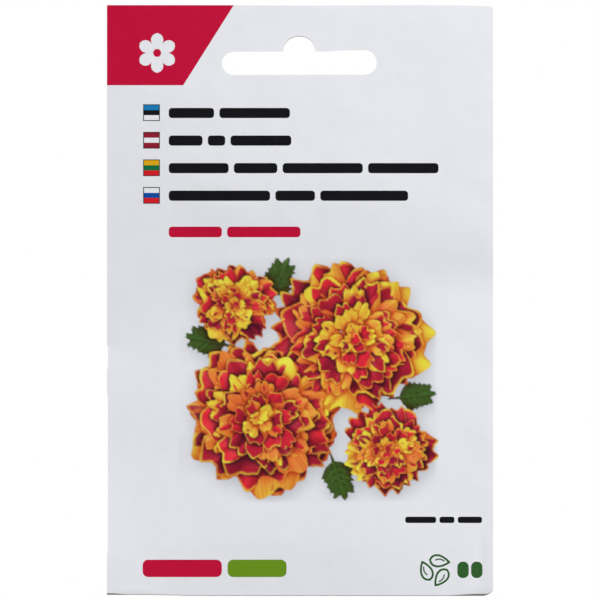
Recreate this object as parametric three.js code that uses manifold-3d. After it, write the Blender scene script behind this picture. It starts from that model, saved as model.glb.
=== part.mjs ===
// A paper seed packet: two webs sealed face to face round a shallow pocket that holds loose seeds.
// Millimetres, +Z up, +X to the right of the printed face, which looks towards -Y.
// The origin is the top of the hang slot's arch, midway between the webs: the point a peg carries.
// A "drop" is a distance down from the packet's top edge.
import * as THREE from "three";
import { mergeVertices } from "three/addons/utils/BufferGeometryUtils.js";
import Module from "manifold-3d";

const wasm = await Module();
wasm.setup();

// Outline
const WIDTH = 80;
const HEIGHT = 122.4;
const PAPER = 0.15;
const RIGHT_CORNER_RADIUS = 1;

// Hang slot: a round-ended slot with a round arch over its middle
const SLOT_LENGTH = 32;
const SLOT_HEIGHT = 4.9;
const SLOT_DROP = 11.9;
const ARCH_RADIUS = 3.4;
const ARCH_DROP = 10.05;
const ARC_STEPS = 12;

// Seals and the crease that crosses the packet, lower on the left
const SIDE_SEAL = 3.5;
const HEADER_SEAL = 20;
const BOTTOM_SEAL = 4;
const FOLD_DROP_LEFT = 70;
const FOLD_DROP_RIGHT = 54.5;

// How far each web stands off the seal plane: above the fold, at it and below it
const FRONT_PUFF = { upper: 0.45, fold: 0.25, lower: 1.1 };
const BACK_PUFF = { upper: 0.35, fold: 0.2, lower: 1.0 };
const PUFF_SIDE_POWER = 5;
const UPPER_PEAK_POWER = 0.6;
const LOWER_RISE_POWER = 1.3;
const LOWER_FALL_POWER = 5;
const LOWER_PEAK = 0.66;

// Cells of the sheets' surface
const POCKET_COLUMNS = 20;
const UPPER_ROWS = 8;
const LOWER_ROWS = 14;

// Seeds: a slim flattened body, tapered to its foot, with two chaffy bristles forking from its head
const SEED_LENGTH = 10.8;
const SEED_HALF_THICKNESS = 0.35;
const SEED_FLANK = [[0.4, 2.2], [0.5, 6.4], [0.6, SEED_LENGTH]];
const SEED_FORK_HEIGHT = 7.4;

// The heap on the pocket's floor: each seed lies across others of its own cluster, clear of the rest
const CLUSTERS = 5;
const SEEDS_PER_CLUSTER = 16;
const HEAP_HALF_WIDTH = 31;
const HEAP_TOP_DROP = 91;
const HEAP_BOTTOM_DROP = 114.5;
const HEAP_SETTLING = 1.3;
const CLUSTER_SPREAD = 9;
const CLUSTER_GAP = 0.35;
const SEED_CLEARANCE = 0.13;
const LAYER_OFFSET = 0.2;
const LEAST_BITE = 0.06;
const MOST_BITE = 0.45;
const SLIVER = 0.02;
const RANDOM_SEED = 20611;

const TOP = ARCH_DROP - ARCH_RADIUS;
const POCKET_HALF_WIDTH = WIDTH / 2 - SIDE_SEAL;
const POCKET_BOTTOM = HEIGHT - BOTTOM_SEAL;
const THROUGH = 10;
const SAME_POINT = 1e-4;

const printedPaper = { color: 0xe4e5ea, roughness: 0.62, metalness: 0 };
const backPaper = { color: 0xe9e8e4, roughness: 0.8, metalness: 0 };
const seedHusk = { color: 0x2b241d, roughness: 0.75, metalness: 0 };

/** Turns a closed three.js geometry into a solid that can be cut and joined. */
function toSolid(geometry) {
  const bare = geometry.index ? geometry.toNonIndexed() : geometry.clone();
  bare.deleteAttribute("normal");
  bare.deleteAttribute("uv");
  const merged = mergeVertices(bare, SAME_POINT);
  return new wasm.Manifold(new wasm.Mesh({
    numProp: 3,
    vertProperties: new Float32Array(merged.attributes.position.array),
    triVerts: new Uint32Array(merged.index.array),
  }));
}

/** Turns a solid back into a named mesh. */
function toMesh(name, solid, look) {
  const { vertProperties, triVerts } = solid.getMesh();
  const geometry = new THREE.BufferGeometry();
  geometry.setAttribute("position", new THREE.BufferAttribute(vertProperties, 3));
  geometry.setIndex(new THREE.BufferAttribute(triVerts, 1));
  geometry.computeVertexNormals();
  const mesh = new THREE.Mesh(geometry, new THREE.MeshStandardMaterial(look));
  mesh.name = name;
  return mesh;
}

/** A prism through the packet along Y, from an outline drawn in x and z. */
function prismThrough(shape) {
  const prism = new THREE.ExtrudeGeometry(shape, {
    depth: THROUGH,
    bevelEnabled: false,
    curveSegments: ARC_STEPS,
  });
  prism.translate(0, 0, -THROUGH / 2);
  prism.rotateX(Math.PI / 2);
  return toSolid(prism);
}

/** The hang slot, without its arch. */
function slotShape() {
  const radius = SLOT_HEIGHT / 2;
  const reach = SLOT_LENGTH / 2 - radius;
  const z = TOP - SLOT_DROP;
  const shape = new THREE.Shape();
  shape.absarc(reach, z, radius, -Math.PI / 2, Math.PI / 2, false);
  shape.absarc(-reach, z, radius, Math.PI / 2, 1.5 * Math.PI, false);
  shape.closePath();
  return shape;
}

/** The round arch over the slot's middle, which the peg sits in. */
function archShape() {
  const shape = new THREE.Shape();
  shape.absarc(0, TOP - ARCH_DROP, ARCH_RADIUS, 0, 2 * Math.PI, false);
  return shape;
}

/** The packet's outline: square corners on the left, slightly rounded ones on the right. */
function outlineShape() {
  const right = WIDTH / 2;
  const bottom = TOP - HEIGHT;
  const r = RIGHT_CORNER_RADIUS;
  const shape = new THREE.Shape();
  shape.moveTo(-right, bottom);
  shape.lineTo(right - r, bottom);
  shape.absarc(right - r, bottom + r, r, -Math.PI / 2, 0, false);
  shape.absarc(right - r, TOP - r, r, 0, Math.PI / 2, false);
  shape.lineTo(-right, TOP);
  shape.closePath();
  return shape;
}

/** Where the crease crosses the packet at x. */
function foldDrop(x) {
  return THREE.MathUtils.mapLinear(x, -WIDTH / 2, WIDTH / 2, FOLD_DROP_LEFT, FOLD_DROP_RIGHT);
}

/** How far a web's inner face stands off the seal plane. It is exactly 0 over the seals. */
function rise(x, drop, puff) {
  if (Math.abs(x) >= POCKET_HALF_WIDTH || drop <= HEADER_SEAL || drop >= POCKET_BOTTOM) {
    return 0;
  }
  const fold = foldDrop(x);
  const across = 1 - Math.abs(x / POCKET_HALF_WIDTH) ** PUFF_SIDE_POWER;
  if (drop < fold) {
    const down = (drop - HEADER_SEAL) / (fold - HEADER_SEAL);
    return across * (puff.upper * Math.sin(Math.PI * down ** UPPER_PEAK_POWER) + puff.fold * down);
  }
  const down = (drop - fold) / (POCKET_BOTTOM - fold);
  const swell = (1 - (1 - down) ** LOWER_RISE_POWER) * (1 - down ** LOWER_FALL_POWER);
  return across * (puff.lower * swell / LOWER_PEAK + puff.fold * (1 - down));
}

/** The x of each line of cells, from the left edge to the right. */
function columnPlaces() {
  const places = [-WIDTH / 2];
  for (let i = 0; i <= POCKET_COLUMNS; i += 1) {
    places.push(THREE.MathUtils.lerp(-POCKET_HALF_WIDTH, POCKET_HALF_WIDTH, i / POCKET_COLUMNS));
  }
  places.push(WIDTH / 2);
  return places;
}

/** The drop of each row of cells at x, from the top edge to the bottom. One row follows the crease. */
function rowPlaces(x) {
  const fold = foldDrop(x);
  const places = [0];
  for (let i = 0; i <= UPPER_ROWS; i += 1) {
    places.push(THREE.MathUtils.lerp(HEADER_SEAL, fold, i / UPPER_ROWS));
  }
  for (let i = 1; i <= LOWER_ROWS; i += 1) {
    places.push(THREE.MathUtils.lerp(fold, POCKET_BOTTOM, i / LOWER_ROWS));
  }
  places.push(HEIGHT);
  return places;
}

/** One web, uncut: a sheet of even thickness over the pocket's surface. side is -1 in front, 1 behind. */
function webBlank(side, puff) {
  const columns = columnPlaces();
  const rows = rowPlaces(0).length;
  const inner = [];
  const outer = [];
  for (const x of columns) {
    for (const drop of rowPlaces(x)) {
      const stand = rise(x, drop, puff);
      inner.push([x, side * stand, TOP - drop]);
      outer.push([x, side * (stand + PAPER), TOP - drop]);
    }
  }
  const points = [...inner, ...outer];
  const triangles = [];
  const quad = (a, b, c, d) => {
    const turned = side < 0 ? [a, b, c, a, c, d] : [a, c, b, a, d, c];
    triangles.push(...turned);
  };
  const lastColumn = columns.length - 1;
  const lastRow = rows - 1;
  const at = (column, row) => column * rows + row;
  for (let i = 0; i < lastColumn; i += 1) {
    for (let j = 0; j < lastRow; j += 1) {
      const corners = [at(i, j), at(i, j + 1), at(i + 1, j + 1), at(i + 1, j)];
      quad(...corners.map((k) => k + inner.length));
      quad(...corners.reverse());
    }
  }
  const rim = [
    ...Array.from({ length: lastRow }, (_, k) => at(0, k)),
    ...Array.from({ length: lastColumn }, (_, k) => at(k, lastRow)),
    ...Array.from({ length: lastRow }, (_, k) => at(lastColumn, lastRow - k)),
    ...Array.from({ length: lastColumn }, (_, k) => at(lastColumn - k, 0)),
  ];
  rim.forEach((from, k) => {
    const to = rim[(k + 1) % rim.length];
    quad(from, to, to + inner.length, from + inner.length);
  });
  const geometry = new THREE.BufferGeometry();
  geometry.setAttribute("position", new THREE.Float32BufferAttribute(points.flat(), 3));
  geometry.setIndex(triangles);
  return toSolid(geometry);
}

/** One web, with its corners rounded and the hang slot cut through its header. */
function web(name, side, puff, look) {
  const cut = prismThrough(slotShape()).add(prismThrough(archShape()));
  const sheet = webBlank(side, puff).intersect(prismThrough(outlineShape())).subtract(cut);
  return toMesh(name, sheet, look);
}

/** A repeatable stream of numbers from 0 to 1. */
function randomStream(start) {
  let state = start;
  return () => {
    state = (state + 0x6d2b79f5) | 0;
    let t = Math.imul(state ^ (state >>> 15), 1 | state);
    t = (t + Math.imul(t ^ (t >>> 7), 61 | t)) ^ t;
    return ((t ^ (t >>> 14)) >>> 0) / 2 ** 32;
  };
}

/** One seed, with the foot at the origin, its length along +Z and its flat sides towards Y. */
function oneSeed() {
  const shape = new THREE.Shape();
  shape.moveTo(0, 0);
  SEED_FLANK.forEach(([x, z]) => shape.lineTo(x, z));
  shape.lineTo(0, SEED_FORK_HEIGHT);
  SEED_FLANK.toReversed().forEach(([x, z]) => shape.lineTo(-x, z));
  shape.closePath();
  const body = new THREE.ExtrudeGeometry(shape, {
    depth: 2 * SEED_HALF_THICKNESS,
    bevelEnabled: false,
  });
  body.translate(0, 0, -SEED_HALF_THICKNESS);
  body.rotateX(Math.PI / 2);
  return toSolid(body);
}

/** The room that the pocket leaves a seed at x and drop: its middle and half its depth. */
function roomAt(x, drop) {
  const front = rise(x, drop, FRONT_PUFF);
  const back = rise(x, drop, BACK_PUFF);
  return { middle: (back - front) / 2, half: (back + front) / 2 };
}

/** A drawn place for a seed near middleX, or null where the pocket has no room for it. */
function drawPlace(random, middleX) {
  const turn = random() * 2 * Math.PI;
  const along = new THREE.Vector2(Math.sin(turn), -Math.cos(turn));
  const centreX = middleX + CLUSTER_SPREAD * (2 * random() - 1);
  const height = random() ** HEAP_SETTLING;
  const centreDrop = THREE.MathUtils.lerp(HEAP_BOTTOM_DROP, HEAP_TOP_DROP, height);
  const foot = new THREE.Vector2(centreX, centreDrop).addScaledVector(along, -SEED_LENGTH / 2);
  const layer = random() < 0.5 ? -LAYER_OFFSET : LAYER_OFFSET;
  const sharesOfLength = [0, 0.25, 0.5, 0.75, 1];
  let middle = 0;
  let spare = Infinity;
  for (const share of sharesOfLength) {
    const x = foot.x + along.x * SEED_LENGTH * share;
    const drop = foot.y + along.y * SEED_LENGTH * share;
    if (Math.abs(x) > HEAP_HALF_WIDTH || drop < HEAP_TOP_DROP || drop > HEAP_BOTTOM_DROP) {
      return null;
    }
    const room = roomAt(x, drop);
    spare = Math.min(spare, room.half - SEED_HALF_THICKNESS - SEED_CLEARANCE);
    middle += room.middle / sharesOfLength.length;
  }
  if (spare < 0) return null;
  return { foot, turn, y: middle + THREE.MathUtils.clamp(layer, -spare, spare) };
}

/** The seed laid at a place. */
function laidSeed(seed, { foot, turn, y }) {
  return seed
    .rotate([0, THREE.MathUtils.radToDeg(turn), 0])
    .translate([foot.x, y, TOP - foot.y]);
}

/** A solid without the small hollows that its crossing pieces close off. */
function outerShell(solid) {
  const shells = solid.decompose();
  return shells.reduce((most, shell) => (shell.volume() > most.volume() ? shell : most));
}

/** The clusters of the heap. A seed joins a cluster only where it bites into it and clears the others. */
function seedHeap(seed, random) {
  const spacing = (2 * (HEAP_HALF_WIDTH - CLUSTER_SPREAD / 2)) / (CLUSTERS - 1);
  const middles = Array.from({ length: CLUSTERS }, (_, i) => (i - (CLUSTERS - 1) / 2) * spacing);
  const clusters = middles.map(() => null);
  const fits = (laid, i) => clusters.every((cluster, j) => {
    if (cluster === null) return true;
    if (i === j) {
      const bite = cluster.intersect(laid).volume();
      return bite > LEAST_BITE && bite < MOST_BITE;
    }
    return cluster.minGap(laid, CLUSTER_GAP) >= CLUSTER_GAP;
  });
  const layOne = (i) => {
    for (;;) {
      const place = drawPlace(random, middles[i]);
      if (place === null) continue;
      const laid = laidSeed(seed, place);
      if (fits(laid, i)) return laid;
    }
  };
  for (let round = 0; round < SEEDS_PER_CLUSTER; round += 1) {
    for (let i = 0; i < CLUSTERS; i += 1) {
      const laid = layOne(i);
      clusters[i] = clusters[i] === null ? laid : clusters[i].add(laid);
    }
  }
  return clusters.map((cluster) => outerShell(cluster).simplify(SLIVER));
}

const packet = new THREE.Group();
packet.add(web("front_panel", -1, FRONT_PUFF, printedPaper));
packet.add(web("back_panel", 1, BACK_PUFF, backPaper));
seedHeap(oneSeed(), randomStream(RANDOM_SEED)).forEach((cluster, i) => {
  packet.add(toMesh(`seed_cluster_${i + 1}`, cluster, seedHusk));
});

export default packet;
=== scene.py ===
"""The looks of a paper seed packet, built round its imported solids.

Metres in Blender; lengths here are millimetres until a point goes into a mesh. +Z up, +X to the
right of the printed face, which looks towards -Y. A "drop" is a distance down from the top edge.
"""
import math

import bpy
import numpy as np
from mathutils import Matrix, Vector
from mathutils.geometry import delaunay_2d_cdt


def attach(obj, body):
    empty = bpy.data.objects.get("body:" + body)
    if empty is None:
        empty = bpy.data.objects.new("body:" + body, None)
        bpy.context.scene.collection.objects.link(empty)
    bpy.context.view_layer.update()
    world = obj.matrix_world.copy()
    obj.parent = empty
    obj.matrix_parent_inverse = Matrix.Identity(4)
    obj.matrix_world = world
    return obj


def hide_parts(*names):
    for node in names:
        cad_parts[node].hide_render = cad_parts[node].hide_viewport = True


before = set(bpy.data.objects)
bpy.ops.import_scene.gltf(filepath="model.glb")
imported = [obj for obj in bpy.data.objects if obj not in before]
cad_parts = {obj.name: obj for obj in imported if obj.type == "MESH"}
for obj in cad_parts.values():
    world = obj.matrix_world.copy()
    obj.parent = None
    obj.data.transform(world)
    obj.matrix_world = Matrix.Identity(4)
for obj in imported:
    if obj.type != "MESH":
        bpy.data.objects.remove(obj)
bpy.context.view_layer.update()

MM = 0.001

# The packet, as its solids have it
WIDTH = 80.0
HEIGHT = 122.4
PAPER = 0.15
SLOT_HALF_LENGTH = 16.0
SLOT_HALF_HEIGHT = 2.45
SLOT_DROP = 11.9
ARCH_RADIUS = 3.4
ARCH_DROP = 10.05
HEADER_SEAL = 20.0
SIDE_SEAL = 3.5
FOOT_SEAL = 4.0
POCKET_BOTTOM = HEIGHT - FOOT_SEAL
POCKET_HALF_WIDTH = WIDTH / 2 - SIDE_SEAL

# The top edge's height. The origin is the mount, at the top of the arch
TOP = ARCH_DROP - ARCH_RADIUS

# Small faults of the cut: the top edge dips near its middle and at its right end, and the bottom
# edge rises at the left. A stretch is where a fault begins and where it is full
TOP_DIP = 0.09
TOP_DIP_MIDDLE = 2
TOP_DIP_REACH = 12
TOP_CORNER_DIP = 0.22
TOP_CORNER_STRETCH = (30, 40)
FOOT_RISE = 0.21
FOOT_RISE_STRETCH = (-20, -33)

# How far the left edge lies in, and the drops where each step in begins, is full, is still full and
# ends
STEP_IN = 0.17
STEPS = (
    (70.2, 70.4, 74.6, 75.8),
    (80.2, 81.4, 112.4, 114.2),
)

# The rounded right corners, by how much across and down. The lower ones are flatter than a circle,
# whose power is 1
TOP_CORNER = (0.95, 0.75)
FRONT_CORNER = (1.3, 0.65)
BACK_CORNER = (1.9, 1.1)
CORNER_POWER = 1.5
CORNER_POINTS = 7

# By how much the front is shorter than the back, and by how much more at its two lower corners
FRONT_SHORT = 0.13
FRONT_SHORT_LEFT = 0.22
FRONT_SHORT_RIGHT = 0.30
SHORT_LEFT_STRETCH = (-35.5, -39)
SHORT_RIGHT_STRETCH = (30, 37)

# The slot's faults: its tilt in degrees, its length's stretch, its shift to the right and down, how
# far its upper edge is lowered, and how far that edge rises again at the right
SLOT_TILT = -0.17
SLOT_STRETCH = 1.002
SLOT_SHIFT = (-0.14, 0.08)
SLOT_PINCH = 0.05
SLOT_RIGHT_RISE = 0.24
SLOT_RISE_STRETCH = (4, 12)

# The arch is a little squarer than a circle, whose squareness is 2. Its top lies higher by its lift,
# which comes in over ARCH_LIFT_SOFTNESS
ARCH_SQUARENESS = 2.15
ARCH_LIFT_SOFTNESS = 1.5
FRONT_ARCH_LIFT = 0.38
BACK_ARCH_LIFT = 0.28

# How the front's face stands and leans: at the left and right edge, how far it stands in front of
# the mount and by how many degrees it looks upwards
HEADER_STAND = (0.90, 0.35)
HEADER_LEAN = (0.0, 0.87)

# Where the front bends: the drops at the left and right edge, how soft the bend is, and by how many
# degrees it turns downwards at each edge. From DROOP_FROM outwards all bends come to lie lower, at
# the edges by EDGE_DROOP
BENDS = (
    (33.0, 7.5, 3.0, -1.6, 0.8),
    (32.4, 48.6, 4.0, 2.25, 2.25),
    (66.7, 56.3, 1.6, -1.2, -3.25),
    (93.0, 130.0, 4.0, -0.87, 0.54),
    (112.0, 113.0, 1.5, 1.3, 0.34),
)
EDGE_DROOP = (2.2, 1.3)
DROOP_FROM = 24.0

# The front's middle is hollow, and fully so from HOLLOW_DROP on. Near the foot its middle turns
# downwards by FOOT_TURN degrees more
FRONT_HOLLOW = 0.19
HOLLOW_DROP = 60.0
FOOT_TURN = 0.5
FOOT_TURN_DROP = 111.0
FOOT_TURN_SOFTNESS = 1.5
FOOT_TURN_MIDDLE = -2.0
FOOT_TURN_REACH = 18.0

# Dents in the front, at the right edge, at the left edge's step and, standing out, at the left end
# of the foot: how deep, their x and drop, and how far they reach along both
DENTS = (
    (0.018, 38.2, 40.5, 2.0, 2.0),
    (0.035, -38.5, 71.2, 3.5, 2.2),
    (-0.036, -34.0, 121.3, 5.0, 0.55),
)

# The groove along the lower right seal, and where it begins and ends
GROOVE_DEPTH = 0.03
GROOVE_PLACE = 37.4
GROOVE_REACH = 0.9
GROOVE_BEGIN = (108, 112)
GROOVE_END = (122, 118)

# How far the front's lower right corner curls back, and over which drops and places
CORNER_CURL = 0.06
CURL_DROPS = (120.9, 122.3)
CURL_STRETCH = (33, 38)

# The lengths of the slight waves in the paper, and their height as a share of that
RIPPLES = (70, 52, 39, 29, 21, 15)
RIPPLE_STEEPNESS = 0.00028
RIPPLE_SEED = 1166

# How far the back swells in its upper and lower pocket, and the drops between which the one passes
# into the other. It swells fully from BACK_FULL_DROP on, and from BACK_FADE_DROP on it falls off to
# the foot. The powers say how late it falls off towards the sides and the foot
BACK_UPPER = 0.42
BACK_LOWER = 1.18
BACK_PASSAGE = (52, 92)
BACK_FULL_DROP = 45
BACK_FADE_DROP = 100
BACK_SIDE_POWER = 9
BACK_FOOT_POWER = 6

# How far the two sheets are apart where they are sealed
SHEET_GAP = 0.01

# The seeds that press faintly through the back: how many, the highest one's height, how far a lump
# reaches along and across, and where they lie
LUMPS = 34
LUMP_HEIGHT = 0.085
LUMP_REACH = (4.0, 1.2)
LUMP_SPREAD = 27
LUMP_DROPS = (80, 112)
LUMP_SEED = 5

# How finely the sheets are divided: the picture, the outer and the inner faces, and lines and arcs.
# CLEARANCE is how far the outer faces' grids keep off the lines of cut and print
PICTURE_STEP = 0.2
SHEET_STEP = 0.7
LINING_STEP = 1.0
EDGE_STEP = 0.5
ARC_STEP = 0.25
CLEARANCE = 0.3

# Edges are sharp where the surface turns by more degrees than this
SHARP_ANGLE = 40

# Inks, as screen colours
WHITE = (1.0, 1.0, 1.0)
BLACK = (0.07, 0.07, 0.08)
CRIMSON = (0.83, 0.05, 0.24)
GREEN = (0.21, 0.40, 0.19)
LEAF_GREEN = (0.46, 0.63, 0.12)
BLUE = (0.10, 0.53, 0.76)
DEEP_BLUE = (0.03, 0.32, 0.67)
DEEP_GREEN = (0.04, 0.47, 0.27)
CARMINE = (0.62, 0.12, 0.20)
GOLD = (0.95, 0.72, 0.09)
SIGNAL_RED = (0.91, 0.12, 0.16)
GREY = (0.42, 0.42, 0.45)
PALE_GREY = (0.86, 0.86, 0.87)
MAROON = (0.53, 0.08, 0.20)
RED = (0.92, 0.16, 0.22)
ORANGE = (0.99, 0.54, 0.24)
YELLOW = (1.0, 0.91, 0.27)
LEAF_DARK = (0.12, 0.25, 0.08)
LEAF_LIGHT = (0.36, 0.50, 0.17)

# Painted shade: how light the sheets' inner faces and cut edges are, where 1 is the bare outer face.
# The inner faces are darkened to stand in for the shade between the two sheets, and the cut edges
# to tone down the strong light that falls on them
LINING_SHADE = 0.58
RIM_SHADE = 0.3

# The front's crimson corner and the pictogram in it
PANEL_RIGHT_ABOVE = -13.1
PANEL_RIGHT_BELOW = -24.2
PANEL_BOTTOM = 16.6
ROSETTE_MIDDLE = (-29.6, 9.9)
ROSETTE_RADIUS = 4.1

# The front's small squares and the bars beside them. LINES holds each square's bands and its bars'
# widths, and the bars stand BAR_DOWN below the square's top
SQUARE_LEFT = -32.5
SQUARE_SIZE = 3.46
SQUARE_EDGE = 0.17
BARS_LEFT = -27.2
BAR_DOWN = 0.75
BAR_HEIGHT = 2.1
LINES_TOP = 20.55
LINE_PITCH = 5.714
LINES = (
    ((BLUE, BLACK, WHITE), (9.4, 14.6)),
    ((CARMINE, WHITE, CARMINE), (7.0, 3.6, 12.6)),
    ((GOLD, DEEP_GREEN, SIGNAL_RED), (12.4, 9.0, 16.6, 14.6)),
    ((WHITE, DEEP_BLUE, SIGNAL_RED), (21.0, 8.2, 18.2)),
)

# The front's other rows of bars: left, top, height, the bars' widths, ink and the gap between them
BAR_GAP = 1.1
BAR_ROWS = (
    (BARS_LEFT, 45.9, 2.2, (11.0, 15.2), CRIMSON, BAR_GAP),
    (21.8, 106.0, 1.3, (6.4, 3.1, 5.0), BLACK, 0.7),
    (-32.6, 114.9, 3.6, (16.4,), CRIMSON, BAR_GAP),
    (-15.0, 114.9, 3.6, (12.2,), LEAF_GREEN, BAR_GAP),
)

# The seed pictogram: its middle, how far the seeds lie from it and in which directions, and the row
# of bars beside it
SEED_MARK = (28.1, 117.0)
SEED_AWAY = 2.0
SEED_TURNS = (-65, 55, 175)
SEED_BARS = (32.6, 115.3, 3.4, (2.35, 2.35), GREEN, 0.5)

# The back's paragraphs: their tops and how many lines they have. Then the bar over each by left,
# width and height, where lines begin and end in x, where the last one may end, and the first one's
# upper and lower edge below the paragraph's top
PARAGRAPHS = ((30.0, 5), (48.0, 5), (84.0, 6))
PARAGRAPH_HEADING = (12.0, 18.0, 1.6)
PARAGRAPH_SPAN = (30.0, -31.0)
LAST_LINE_ENDS = (-20, 5)
FIRST_LINE = (3.4, 4.3)
PARAGRAPH_PITCH = 2.2
PARAGRAPH_SEED = 7

# The strip of months on the back, with a small bar under each
MONTH_PITCH = 5.05
MONTH_GAP = 0.35
MONTH_WIDTH = MONTH_PITCH - MONTH_GAP
MONTH_DROPS = (69.0, 73.0)
MONTH_BAR_DROPS = (75.0, 76.0)
MONTH_INKS = (PALE_GREY,) * 2 + (GOLD,) * 3 + (LEAF_GREEN,) * 5 + (PALE_GREY,) * 2


def linear(colour):
    """A screen colour as linear light."""
    c = np.asarray(colour, float)
    return np.where(c <= 0.04045, c / 12.92, ((c + 0.055) / 1.055) ** 2.4)


def smooth(low, high, value):
    """A soft step from 0 at low to 1 at high."""
    t = np.clip((value - low) / (high - low), 0, 1)
    return t * t * (3 - 2 * t)


def turn(value, at, softness):
    """0 up to at and value - at beyond it, with a soft corner."""
    return softness * np.logaddexp(0, (value - at) / softness)


def bell(value, middle, spread):
    """1 at middle, and falling off on both sides of it."""
    return np.exp(-((value - middle) / spread) ** 2)


def between(x, left, right):
    """A value that runs evenly from the packet's left edge to its right edge."""
    return left + (right - left) * (x / WIDTH + 0.5)


# ---------- the sheets' surface

def ripples(x, drop):
    """Slight waves in the paper, two of each length."""
    random = np.random.default_rng(RIPPLE_SEED)
    total = 0
    for wavelength in RIPPLES:
        for _ in range(2):
            angle, phase = random.uniform(0, math.pi), random.uniform(0, 2 * math.pi)
            along = x * math.cos(angle) + drop * math.sin(angle)
            wave = np.sin(2 * math.pi * along / wavelength + phase)
            total = total + RIPPLE_STEEPNESS * wavelength * wave
    return total


def front_outer(x, drop):
    """The printed face's place along Y: negative is towards the viewer."""
    y = FRONT_HOLLOW * (1 - (2 * x / WIDTH) ** 2) * smooth(0, HOLLOW_DROP, drop)
    y = y - between(x, *HEADER_STAND) - np.radians(between(x, *HEADER_LEAN)) * drop
    y = y + ripples(x, drop)
    droop = between(x, *EDGE_DROOP) * smooth(DROOP_FROM, WIDTH / 2, np.abs(x))
    for left_drop, right_drop, softness, left_turn, right_turn in BENDS:
        bend = turn(drop, droop + between(x, left_drop, right_drop), softness)
        y = y + np.radians(between(x, left_turn, right_turn)) * bend
    bend = turn(drop, FOOT_TURN_DROP, FOOT_TURN_SOFTNESS)
    y = y + math.radians(FOOT_TURN) * bend * bell(x, FOOT_TURN_MIDDLE, FOOT_TURN_REACH)
    for depth, middle_x, middle_drop, wide, high in DENTS:
        y = y + depth * bell(x, middle_x, wide) * bell(drop, middle_drop, high)
    groove = smooth(*GROOVE_BEGIN, drop) * smooth(*GROOVE_END, drop)
    y = y + GROOVE_DEPTH * groove * bell(x, GROOVE_PLACE, GROOVE_REACH)
    return y + CORNER_CURL * smooth(*CURL_DROPS, drop) * smooth(*CURL_STRETCH, x)


def front_inner(x, drop):
    """The front's other face."""
    return front_outer(x, drop) + PAPER - SHEET_GAP / 2


def lumps(x, drop):
    """Long low bumps, strewn over the lower pocket."""
    random = np.random.default_rng(LUMP_SEED)
    height = 0 * x
    long, wide = LUMP_REACH
    for _ in range(LUMPS):
        dx = x - random.uniform(-LUMP_SPREAD, LUMP_SPREAD)
        dd = drop - random.uniform(*LUMP_DROPS)
        angle = random.uniform(0, math.pi)
        along = dx * math.cos(angle) + dd * math.sin(angle)
        across = dd * math.cos(angle) - dx * math.sin(angle)
        lump = random.uniform(0.5, 1.0) * bell(along, 0, long) * bell(across, 0, wide)
        height = np.maximum(height, lump)
    return LUMP_HEIGHT * height


def back_outer(x, drop):
    """The back: sealed to the front all round, and swelling away from it between the seals."""
    sealed = front_outer(x, drop) + 2 * PAPER + SHEET_GAP / 2
    swollen = BACK_UPPER + (BACK_LOWER - BACK_UPPER) * smooth(*BACK_PASSAGE, drop) + lumps(x, drop)
    sides = 1 - np.clip(np.abs(x) / POCKET_HALF_WIDTH, 0, 1) ** BACK_SIDE_POWER
    foot = np.clip((drop - BACK_FADE_DROP) / (POCKET_BOTTOM - BACK_FADE_DROP), 0, 1)
    ends = smooth(HEADER_SEAL, BACK_FULL_DROP, drop) * (1 - foot ** BACK_FOOT_POWER)
    return sealed + sides * ends * (swollen - sealed)


def back_inner(x, drop):
    """The back's other face."""
    return back_outer(x, drop) - PAPER


# ---------- flat shapes, in x and drop

def towards(middle, away, angle):
    """The point at that distance from middle. The angle is in radians, from +x to the second axis."""
    return middle[0] + away * math.cos(angle), middle[1] + away * math.sin(angle)


def arc(middle, radius, turn_from, turn_to, step=ARC_STEP):
    """Points on an arc. Turns are in degrees, from +x towards larger drops."""
    count = max(3, round(abs(math.radians(turn_to - turn_from)) * radius / step))
    turns = np.radians(np.linspace(turn_from, turn_to, count + 1))
    return [towards(middle, radius, t) for t in turns]


def stations(start, end):
    """Even steps from start towards end, without end itself."""
    count = max(1, round(abs(end - start) / EDGE_STEP))
    return [start + (end - start) * k / count for k in range(count)]


def top_edge(x):
    """The drop of the top edge."""
    middle = TOP_DIP * float(bell(x, TOP_DIP_MIDDLE, TOP_DIP_REACH))
    return middle + TOP_CORNER_DIP * float(smooth(*TOP_CORNER_STRETCH, x))


def back_foot(x):
    """The drop of the back's bottom edge."""
    return HEIGHT - FOOT_RISE * float(smooth(*FOOT_RISE_STRETCH, x))


def front_foot(x):
    """The drop of the front's bottom edge."""
    left = FRONT_SHORT_LEFT * float(smooth(*SHORT_LEFT_STRETCH, x))
    right = FRONT_SHORT_RIGHT * float(smooth(*SHORT_RIGHT_STRETCH, x))
    return back_foot(x) - FRONT_SHORT - left - right


def left_edge(drop):
    """The left edge's x, which lies in at the crease and again over the pocket."""
    share = 0
    for begin, full, still_full, end in STEPS:
        share += smooth(begin, full, drop) * smooth(end, still_full, drop)
    return -WIDTH / 2 + STEP_IN * float(share)


def sheet_outline(foot, corner):
    """A sheet's outline. foot gives its bottom edge's drop at x, and corner the lower right corner."""
    side = WIDTH / 2
    wide, high = TOP_CORNER
    middle_x, middle_drop = side - wide, top_edge(side - wide) + high
    loop = [(x, top_edge(x)) for x in stations(-side, middle_x)]
    nearly_quarter_turn = 1.5
    for t in np.linspace(0, nearly_quarter_turn, CORNER_POINTS):
        loop.append((middle_x + wide * math.sin(t), middle_drop - high * math.cos(t)))
    wide, high = corner
    loop += [(side, drop) for drop in stations(middle_drop, foot(side) - high)]
    middle_x, middle_drop = side - wide, foot(side) - high
    for t in np.linspace(0, math.pi / 2, CORNER_POINTS + 1)[:-1]:
        x = middle_x + wide * math.cos(t) ** CORNER_POWER
        loop.append((x, middle_drop + high * math.sin(t) ** CORNER_POWER))
    loop += [(x, foot(x)) for x in stations(middle_x, -side)]
    loop += [(left_edge(drop), drop) for drop in stations(foot(-side), top_edge(-side))]
    return loop


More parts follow.
